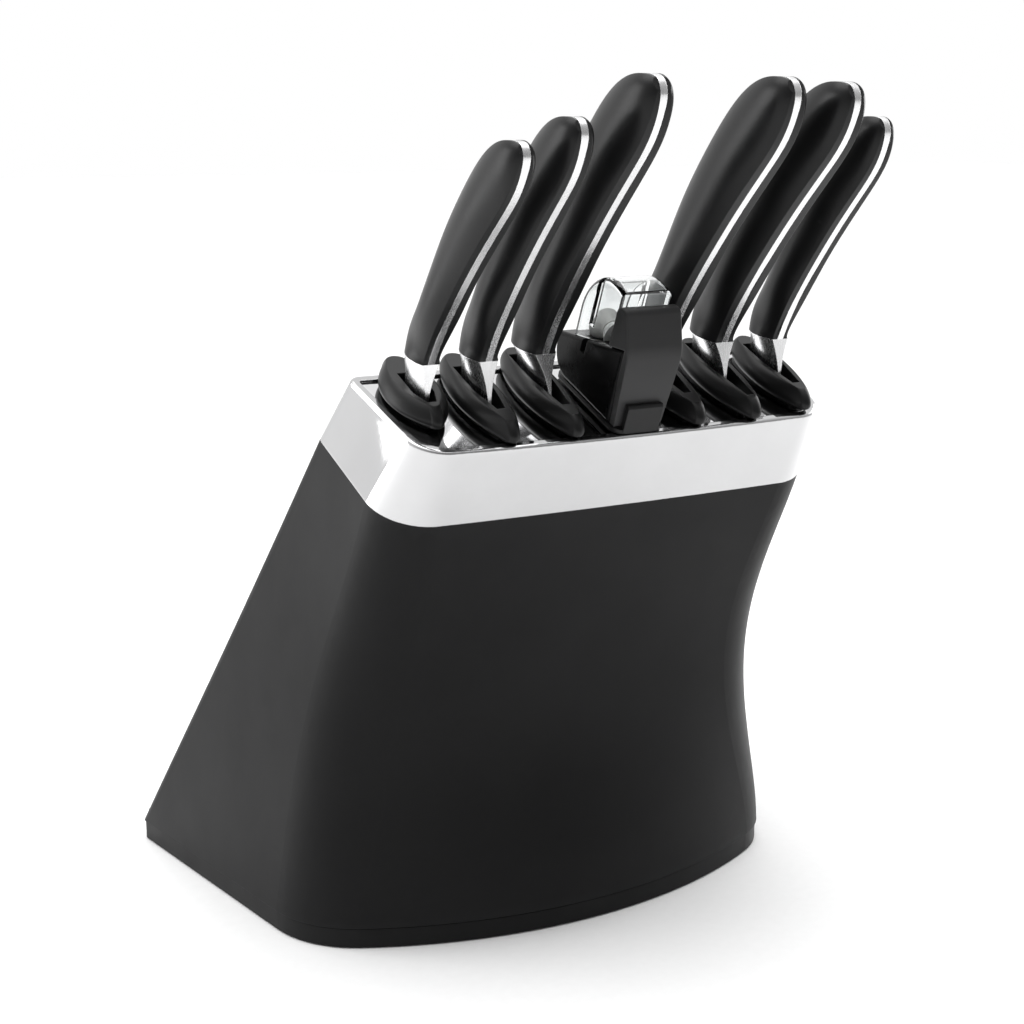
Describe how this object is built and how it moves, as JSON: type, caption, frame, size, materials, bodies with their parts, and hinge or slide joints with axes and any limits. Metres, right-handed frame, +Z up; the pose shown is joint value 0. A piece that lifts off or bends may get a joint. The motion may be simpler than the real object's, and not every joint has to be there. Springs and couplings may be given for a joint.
{
  "type": "knife block",
  "caption": "Sloping black kitchen knife block with a polished chrome top, forged knives in boat shaped slots and a lift-out pull-through sharpener under a clear guard",
  "frame": {"origin": "middle of the flat resting face under the block", "axes": "+X along the long front to the right, -Y towards the user at the front, +Z up"},
  "size_m": [0.2736, 0.2615, 0.344],
  "materials": {
    "satin_black_plastic": "satin",
    "grey_rubber": "matte",
    "screw_steel": "plain",
    "soft_touch_black": "soft matt",
    "polished_chrome": "polished",
    "mirror_plate": "mirror polished",
    "guide_plastic": "matt",
    "insert_plastic": "satin",
    "gloss_black_plastic": "semi gloss",
    "dark_grey_plastic": "fine matt",
    "clear_plastic": "clear moulded",
    "white_ceramic": "fine grit",
    "knife_steel": "satin polished",
    "handle_black": "satin"
  },
  "bodies": {
    "block": {"base_tray": "satin_black_plastic", "non_slip_pad": "grey_rubber", "base_screws": "screw_steel", "body_shell": "soft_touch_black", "chrome_collar": "polished_chrome", "top_plate": "mirror_plate", "blade_rack": "guide_plastic", "sharpener_dock": "insert_plastic", "vegetable_slot_insert": "insert_plastic", "kitchen_slot_insert": "insert_plastic", "bread_slot_insert": "insert_plastic", "carving_slot_insert": "insert_plastic", "cooks_slot_insert": "insert_plastic", "utility_slot_insert": "insert_plastic"},
    "vegetable_knife": {"vegetable_knife_blade": "knife_steel", "vegetable_knife_left_scale": "handle_black", "vegetable_knife_right_scale": "handle_black"},
    "kitchen_knife": {"kitchen_knife_blade": "knife_steel", "kitchen_knife_left_scale": "handle_black", "kitchen_knife_right_scale": "handle_black"},
    "bread_knife": {"bread_knife_blade": "knife_steel", "bread_knife_left_scale": "handle_black", "bread_knife_right_scale": "handle_black"},
    "carving_knife": {"carving_knife_blade": "knife_steel", "carving_knife_left_scale": "handle_black", "carving_knife_right_scale": "handle_black"},
    "cooks_knife": {"cooks_knife_blade": "knife_steel", "cooks_knife_left_scale": "handle_black", "cooks_knife_right_scale": "handle_black"},
    "utility_knife": {"utility_knife_blade": "knife_steel", "utility_knife_left_scale": "handle_black", "utility_knife_right_scale": "handle_black"},
    "sharpener": {"sharpener_body": "gloss_black_plastic", "sharpener_grip": "dark_grey_plastic", "wheel_axle": "screw_steel"},
    "guard": {"clear_guard": "clear_plastic"},
    "rear_wheel": {"rear_ceramic_wheel": "white_ceramic"},
    "front_wheel": {"front_ceramic_wheel": "white_ceramic"}
  },
  "joints": [
    {"name": "vegetable_knife_draw", "type": "slide", "parent": "block", "child": "vegetable_knife", "axis": [0, -0.3795, 0.9252], "range_m": [0, 0.115]},
    {"name": "kitchen_knife_draw", "type": "slide", "parent": "block", "child": "kitchen_knife", "axis": [0, -0.3795, 0.9252], "range_m": [0, 0.155]},
    {"name": "bread_knife_draw", "type": "slide", "parent": "block", "child": "bread_knife", "axis": [0, -0.3795, 0.9252], "range_m": [0, 0.225]},
    {"name": "carving_knife_draw", "type": "slide", "parent": "block", "child": "carving_knife", "axis": [0, -0.3795, 0.9252], "range_m": [0, 0.225]},
    {"name": "cooks_knife_draw", "type": "slide", "parent": "block", "child": "cooks_knife", "axis": [0, -0.3795, 0.9252], "range_m": [0, 0.195]},
    {"name": "utility_knife_draw", "type": "slide", "parent": "block", "child": "utility_knife", "axis": [0, -0.3795, 0.9252], "range_m": [0, 0.155]},
    {"name": "sharpener_lift", "type": "slide", "parent": "block", "child": "sharpener", "axis": [0, -0.3795, 0.9252], "range_m": [0, 0.06]},
    {"name": "guard_lift", "type": "slide", "parent": "sharpener", "child": "guard", "axis": [0, -0.3795, 0.9252], "range_m": [0, 0.03]},
    {"name": "rear_wheel_spin", "type": "hinge", "parent": "sharpener", "child": "rear_wheel", "pos_m": [0, -0.09564, 0.25042], "axis": [0, -0.9252, -0.3795], "continuous": true},
    {"name": "front_wheel_spin", "type": "hinge", "parent": "sharpener", "child": "front_wheel", "pos_m": [0, -0.10119, 0.24815], "axis": [0, -0.9252, -0.3795], "continuous": true}
  ]
}
